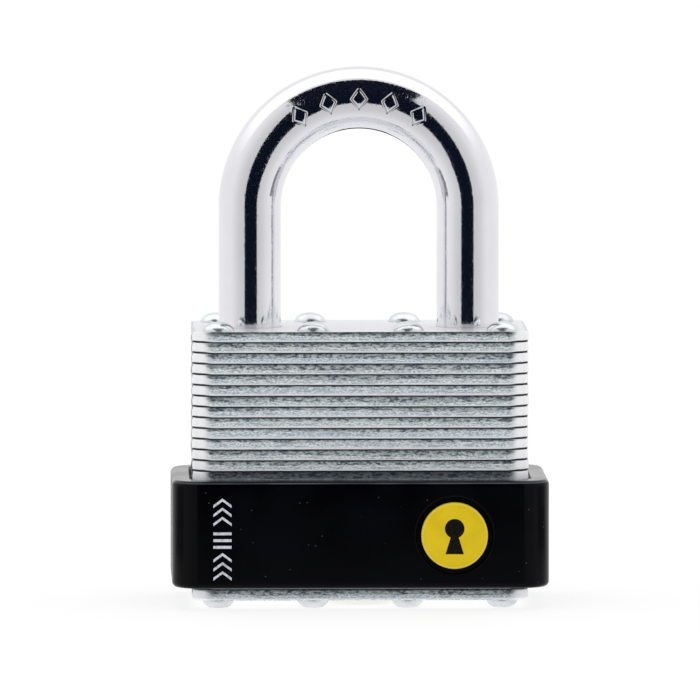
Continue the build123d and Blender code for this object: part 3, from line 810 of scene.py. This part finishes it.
RIVET_SEGMENTS = 44
RIVET_SEED = 730
HEAD_RADIUS = 2.4
HEAD_SHARES = (0.15, 0.3, 0.45, 0.6, 0.72, 0.82, 0.90, 0.955, 0.985, 1.0)
HEAD_RISE = 1.36
HEAD_GAP = 0.04
HEAD_SINK = 0.04
HEAD_LEAN = 0.035
HEAD_EDGE = 0.03
FOOT_SHARES = (1.0, 0.985, 0.955, 0.91, 0.84, 0.75, 0.65, 0.55)
FOOT_DROP = 1.30
FOOT_GAP = 0.12
FOOT_FLAT = (1.05, 0.0)
FOOT_HOLLOW = (0.55, 0.03)
FOOT_CENTRE = 0.045
WOBBLE = 0.008
WOBBLE_CELL = 1.1
WOBBLE_FROM = 1.0


def dome(share):
    """Height of a formed head at that share of its radius, as a share of its rise."""
    return (1 - share**2.3) ** 0.62


def rivet_profile():
    """Radius and height from the crown of the upper head down to the lower head's flat."""
    lip = HEAD_RADIUS - HEAD_EDGE
    head = [(HEAD_RADIUS * k, STACK_TOP + HEAD_GAP + HEAD_RISE * dome(k)) for k in HEAD_SHARES]
    neck = [(lip, STACK_TOP), (SHANK_RADIUS, STACK_TOP)]
    neck += [(SHANK_RADIUS, STACK_BOTTOM), (lip, STACK_BOTTOM)]
    foot = []
    for share in FOOT_SHARES:
        height = STACK_BOTTOM - FOOT_GAP - FOOT_DROP * dome(share)
        foot.append((HEAD_RADIUS * share, max(0.0, height)))
    return head + neck + foot + [FOOT_FLAT, FOOT_HOLLOW]


def make_rivets():
    """All rivets in one piece, each with its own lean and uneven rim."""
    profile = rivet_profile()
    n = RIVET_SEGMENTS
    angle = np.arange(n) * 2 * math.pi / n
    points, faces = [], []
    for k, (x, y) in enumerate((x, y) for x in RIVET_X for y in RIVET_Y):
        rng = np.random.default_rng(RIVET_SEED + k)
        lean = rng.uniform(-HEAD_LEAN, HEAD_LEAN, 2)
        crown = len(points)
        points.append((x, y, STACK_TOP + HEAD_RISE))
        for row, (r, z) in enumerate(profile):
            worked = r > WOBBLE_FROM and r != SHANK_RADIUS
            wobble = WOBBLE * worked * drift(angle, 2 * math.pi, WOBBLE_CELL, rng)
            radius = r * (1 - np.abs(wobble))
            across, along = radius * np.cos(angle), radius * np.sin(angle)
            height = np.full(n, z)
            if row < len(HEAD_SHARES):
                tilt = lean[0] * across + lean[1] * along - HEAD_SINK
                height += tilt * (z - STACK_TOP) / (HEAD_RISE + HEAD_GAP)
            points += list(zip(x + across, y + along, height))
        foot = len(points)
        points.append((x, y, FOOT_CENTRE))
        ring = crown + 1
        end = foot - n
        faces += [(crown, ring + i, ring + (i + 1) % n) for i in range(n)]
        faces += [tuple(reversed(f)) for f in ring_quads(len(profile), n, ring)]
        faces += [(foot, end + (i + 1) % n, end + i) for i in range(n)]
    piece = make_piece("staked_rivets", points, faces, materials["rivet_steel"], 38)
    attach(piece, "lock_body")
    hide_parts("rivets")


make_rivets()


# ---------------------------------------------------------------- badge and marking

BADGE_FACE = BAND_FRONT + 0.1
BADGE_THICKNESS = 0.9
BADGE_CROWN = 0.05
BADGE_SEGMENTS = 120
RIM_RISE = (4.60, 4.68)
RIM_FALL = (4.92, 4.96)
KEYHOLE_RADIUS = 1.45
KEYHOLE_UP = 1.05
KEYHOLE_WAIST = 0.60
KEYHOLE_FOOT = 1.35
KEYHOLE_DROP = 2.75
KEYHOLE_BACK = BADGE_FACE - 0.03
KEYHOLE_PAINT = 0.05
MARKING_X = -20.6
MARKING_LOW = 4.55
MARKING_HALF = 1.35
MARKING_STROKE = 0.42
MARKING_BACK = BAND_FRONT + 0.01
MARKING_PAINT = 0.03
CHEVRON_PITCH = 1.35
CHEVRON_RISE = 1.0
BARS_UP = 4.75
BAR_PITCH = 1.0
UPPER_CHEVRONS_UP = 8.1


def make_badge():
    """A coined disc: a raised rim, a shallow groove inside it and a slightly crowned field."""
    profile = [
        (0.6, -0.050),
        (1.5, -0.047),
        (2.6, -0.040),
        (3.6, -0.028),
        (4.25, -0.012),
        (4.38, 0.025),
        (4.50, 0.045),
        (4.60, 0.020),
        (4.66, -0.030),
        (4.75, -0.048),
        (4.84, -0.030),
        (4.91, 0.030),
        (BADGE_RADIUS, 0.12),
        (BADGE_RADIUS, BADGE_THICKNESS),
    ]
    n = BADGE_SEGMENTS
    angle = np.arange(n) * 2 * math.pi / n
    cx, cz = BADGE_CENTRE
    points = [(cx, BADGE_FACE - BADGE_CROWN, cz)]
    rim = [0.0]
    for r, back in profile:
        points += list(
            zip(cx + r * np.cos(angle), np.full(n, BADGE_FACE + back), cz + r * np.sin(angle))
        )
        # The rim attribute marks where the badge material paints a highlight on the raised rim
        rim += [float(smoothstep(*RIM_RISE, r) * (1 - smoothstep(*RIM_FALL, r)))] * n
    last = len(points)
    points.append((cx, BADGE_FACE + BADGE_THICKNESS, cz))
    rim.append(0.0)
    faces = [(0, 1 + i, 1 + (i + 1) % n) for i in range(n)]
    faces += [tuple(reversed(f)) for f in ring_quads(len(profile), n, 1)]
    end = 1 + (len(profile) - 1) * n
    faces += [(last, end + (i + 1) % n, end + i) for i in range(n)]
    piece = make_piece("coined_badge", points, faces, materials["badge_yellow"], 30, {"rim": rim})
    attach(piece, "lock_body")
    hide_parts("badge")


def paint_layer(name, outlines, material, back, thickness):
    """Flat printed shapes, given as closed outlines of x and z, each a thin slab facing the front."""
    points, faces = [], []
    for outline in outlines:
        n = len(outline)
        first = len(points)
        for y, grow in ((back, 0.0), (back - thickness * 0.7, 0.0), (back - thickness, 0.02)):
            middle = np.mean(outline, axis=0)
            for p in np.asarray(outline, float):
                towards = (middle - p) / max(1e-9, float(np.linalg.norm(middle - p)))
                x, z = p + towards * grow
                points.append((x, y, z))
        faces += [tuple(reversed(f)) for f in ring_quads(3, n, first)]
        faces.append(tuple(first + 2 * n + i for i in range(n)))
        faces.append(tuple(first + i for i in reversed(range(n))))
    return make_piece(name, points, faces, material, 50)


def keyhole_outline():
    """A keyhole: a round top and a flared foot, anticlockwise from the front."""
    cx, cz = BADGE_CENTRE
    top = cz + KEYHOLE_UP
    spread = math.asin(KEYHOLE_WAIST / KEYHOLE_RADIUS)
    angles = np.linspace(-math.pi / 2 + spread, 1.5 * math.pi - spread, 40)
    ring = [(cx + KEYHOLE_RADIUS * math.cos(a), top + KEYHOLE_RADIUS * math.sin(a)) for a in angles]
    foot = cz - KEYHOLE_DROP
    return [*ring, (cx - KEYHOLE_FOOT, foot), (cx + KEYHOLE_FOOT, foot)]


def bar(up):
    """A level bar of the marking."""
    left, right = MARKING_X - MARKING_HALF, MARKING_X + MARKING_HALF
    low = MARKING_LOW + up
    high = low + MARKING_STROKE
    return [(left, low), (right, low), (right, high), (left, high)]


def chevron(up):
    """The two limbs of a chevron of the marking, which points upwards."""
    left, right = MARKING_X - MARKING_HALF, MARKING_X + MARKING_HALF
    low = MARKING_LOW + up
    high, tip, tip_high = low + MARKING_STROKE, low + CHEVRON_RISE, low + CHEVRON_RISE + MARKING_STROKE
    return [
        [(left, low), (MARKING_X, tip), (MARKING_X, tip_high), (left, high)],
        [(MARKING_X, tip), (right, low), (right, high), (MARKING_X, tip_high)],
    ]


def marking_outlines():
    """A generic row that reads upwards: three chevrons, three bars and three chevrons."""
    shapes = []
    for k in range(3):
        shapes += chevron(k * CHEVRON_PITCH)
    for k in range(3):
        shapes.append(bar(BARS_UP + k * BAR_PITCH))
    for k in range(3):
        shapes += chevron(UPPER_CHEVRONS_UP + k * CHEVRON_PITCH)
    return shapes


make_badge()
keyhole = paint_layer(
    "badge_keyhole", [keyhole_outline()], materials["print_black"], KEYHOLE_BACK, KEYHOLE_PAINT
)
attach(keyhole, "lock_body")
marking = paint_layer(
    "band_marking", marking_outlines(), materials["print_white"], MARKING_BACK, MARKING_PAINT
)
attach(marking, "lock_body")


# ---------------------------------------------------------------- studio

CAMERA_AZIMUTH = -1.458
CAMERA_ELEVATION = 3.858
CAMERA_DISTANCE = 1.7036
CAMERA_PIVOT = Vector((0, 0, 0.05125))
CAMERA_AIM = Vector((-0.0013, 0, 0.03765))
CAMERA_LENS = 586.3
FLOOR_HALF = 6.0
FLOOR_GREY = 0.26
FLOOR_GLOW = 0.79
CARD_BLACK = (0.003, 0.005, 0.013)
FLAG_GREY = (0.24, 0.24, 0.26)
MATT_LEVEL = 1.06

scene = bpy.context.scene
scene.view_settings.view_transform = "Standard"


def stage_material(name, shader):
    material = bpy.data.materials.new(name)
    material.use_nodes = True
    tree = material.node_tree
    tree.nodes.clear()
    output = tree.nodes.new("ShaderNodeOutputMaterial")
    tree.links.new(shader(tree), output.inputs["Surface"])
    return material


def floor_shader(tree):
    """A pale matte floor with a faint glow, which can be looked through from below."""
    white = tree.nodes.new("ShaderNodeBsdfDiffuse")
    white.inputs["Color"].default_value = (FLOOR_GREY, FLOOR_GREY, FLOOR_GREY, 1)
    glow = tree.nodes.new("ShaderNodeEmission")
    glow.inputs["Strength"].default_value = FLOOR_GLOW
    glow.inputs["Color"].default_value = (1, 1, 1, 1)
    both = tree.nodes.new("ShaderNodeAddShader")
    clear = tree.nodes.new("ShaderNodeBsdfTransparent")
    side = tree.nodes.new("ShaderNodeNewGeometry")
    mix = tree.nodes.new("ShaderNodeMixShader")
    tree.links.new(white.outputs[0], both.inputs[0])
    tree.links.new(glow.outputs[0], both.inputs[1])
    tree.links.new(side.outputs["Backfacing"], mix.inputs["Fac"])
    tree.links.new(both.outputs[0], mix.inputs[1])
    tree.links.new(clear.outputs[0], mix.inputs[2])
    return mix.outputs[0]


def card_shader(colour):
    """A function that builds an emission of that colour, whatever the light."""

    def shader(tree):
        glow = tree.nodes.new("ShaderNodeEmission")
        glow.inputs["Color"].default_value = (*colour, 1)
        glow.inputs["Strength"].default_value = 1.0
        return glow.outputs[0]

    return shader


def make_quad(name, corners, material):
    mesh = bpy.data.meshes.new(name)
    mesh.from_pydata(corners, [], [tuple(range(len(corners)))])
    mesh.materials.append(material)
    quad = bpy.data.objects.new(name, mesh)
    scene.collection.objects.link(quad)
    return quad


def only_in_reflections(card):
    card.visible_camera = False
    card.visible_diffuse = False
    card.visible_shadow = False
    card.visible_transmission = False
    card.visible_volume_scatter = False


floor = make_quad(
    "floor",
    [
        (-FLOOR_HALF, -FLOOR_HALF, 0),
        (FLOOR_HALF, -FLOOR_HALF, 0),
        (FLOOR_HALF, FLOOR_HALF, 0),
        (-FLOOR_HALF, FLOOR_HALF, 0),
    ],
    stage_material("floor_white", floor_shader),
)
floor.visible_glossy = False

# A dark card in front, seen only in reflections: a stem that draws the dark line down each leg
# of the shackle, and a wide top that draws the dark crescent on its bow.
CARD_Y = -0.30
CARD_HALF = 0.126
CARD_LEFT_FLARE = 0.70
CARD_RIGHT_FLARE = 0.63
CARD_EYE = 0.076
CARD_TOP = 0.98
CARD_FOOT = -0.02
dark = stage_material("card_dark", card_shader(CARD_BLACK))
only_in_reflections(
    make_quad(
        "front_card",
        [
            (-CARD_HALF, CARD_Y, CARD_FOOT),
            (CARD_HALF, CARD_Y, CARD_FOOT),
            (CARD_HALF, CARD_Y, CARD_EYE + CARD_HALF / CARD_RIGHT_FLARE),
            ((CARD_TOP - CARD_EYE) * CARD_RIGHT_FLARE, CARD_Y, CARD_TOP),
            (-(CARD_TOP - CARD_EYE) * CARD_LEFT_FLARE, CARD_Y, CARD_TOP),
            (-CARD_HALF, CARD_Y, CARD_EYE + CARD_HALF / CARD_LEFT_FLARE),
        ],
        dark,
    )
)

# Flags that lie on the floor at both sides and a narrow card behind shape the metal from there.
FLAG_NEAR = 0.10
FLAG_FAR = 0.30
FLAG_SPREAD = 0.30
FLAG_HEIGHT = 0.0004
BACK_CARD_HALF = 0.045
BACK_CARD_FOOT = -0.12
BACK_CARD_TOP = 0.016
grey = stage_material("card_grey", card_shader(FLAG_GREY))
for number, sign in enumerate((-1, 1)):
    corners = []
    for reach, across in ((FLAG_NEAR, -1), (FLAG_FAR, -1), (FLAG_FAR, 1), (FLAG_NEAR, 1)):
        corners.append((sign * reach, sign * across * reach * FLAG_SPREAD, FLAG_HEIGHT))
    only_in_reflections(make_quad(f"floor_flag_{number}", corners, grey))
only_in_reflections(
    make_quad(
        "back_card",
        [
            (BACK_CARD_HALF, -CARD_Y, BACK_CARD_FOOT),
            (-BACK_CARD_HALF, -CARD_Y, BACK_CARD_FOOT),
            (-BACK_CARD_HALF, -CARD_Y, BACK_CARD_TOP),
            (BACK_CARD_HALF, -CARD_Y, BACK_CARD_TOP),
        ],
        dark,
    )
)


def light_tent():
    """White for the camera, an even level for matt surfaces, and for reflections a tent that is
    dimmer in front and bright above. Y runs from -1 in front to 1 behind, and Z is 1 overhead."""
    world = bpy.data.worlds.new("tent")
    scene.world = world
    world.use_nodes = True
    tree = world.node_tree
    tree.nodes.clear()

    place = tree.nodes.new("ShaderNodeTexCoord")
    split = tree.nodes.new("ShaderNodeSeparateXYZ")
    tree.links.new(place.outputs["Generated"], split.inputs[0])
    y, z = split.outputs["Y"], split.outputs["Z"]
    front = map_range(tree, y, -1.0, -0.2, 0.79, 1.10)
    back = map_range(tree, y, -0.2, 0.9, 0.0, 0.06)
    top = map_range(tree, z, 0.28, 0.80)
    near = map_range(tree, y, -0.22, -0.12)
    far = map_range(tree, y, 0.56, 0.74, 0.55, 0.0)
    overhead = calculate(tree, "MULTIPLY", top, calculate(tree, "MULTIPLY", near, far))
    level = calculate(tree, "ADD", calculate(tree, "ADD", front, back), overhead)
    ray = tree.nodes.new("ShaderNodeLightPath")
    even = tree.nodes.new("ShaderNodeMix")
    even.inputs["B"].default_value = MATT_LEVEL
    tree.links.new(ray.outputs["Is Diffuse Ray"], even.inputs["Factor"])
    tree.links.new(level, even.inputs["A"])
    tent = tree.nodes.new("ShaderNodeBackground")
    tree.links.new(even.outputs["Result"], tent.inputs["Strength"])
    seen = tree.nodes.new("ShaderNodeBackground")
    seen.inputs["Strength"].default_value = 1.0
    seen.inputs["Color"].default_value = (1, 1, 1, 1)
    mix = tree.nodes.new("ShaderNodeMixShader")
    output = tree.nodes.new("ShaderNodeOutputWorld")
    tree.links.new(ray.outputs["Is Camera Ray"], mix.inputs["Fac"])
    tree.links.new(tent.outputs[0], mix.inputs[1])
    tree.links.new(seen.outputs[0], mix.inputs[2])
    tree.links.new(mix.outputs[0], output.inputs["Surface"])


light_tent()

camera_data = bpy.data.cameras.new("camera")
camera_data.lens = CAMERA_LENS
camera_data.sensor_width = 36.0
camera_data.clip_start = 0.05
camera_data.clip_end = 30.0
camera = bpy.data.objects.new("camera", camera_data)
scene.collection.objects.link(camera)
azimuth, elevation = math.radians(CAMERA_AZIMUTH), math.radians(CAMERA_ELEVATION)
back = Vector(
    (
        math.sin(azimuth) * math.cos(elevation),
        -math.cos(azimuth) * math.cos(elevation),
        math.sin(elevation),
    )
)
camera.location = CAMERA_PIVOT + back * CAMERA_DISTANCE
camera.rotation_mode = "QUATERNION"
camera.rotation_quaternion = (CAMERA_AIM - camera.location).to_track_quat("-Z", "Y")
scene.camera = camera
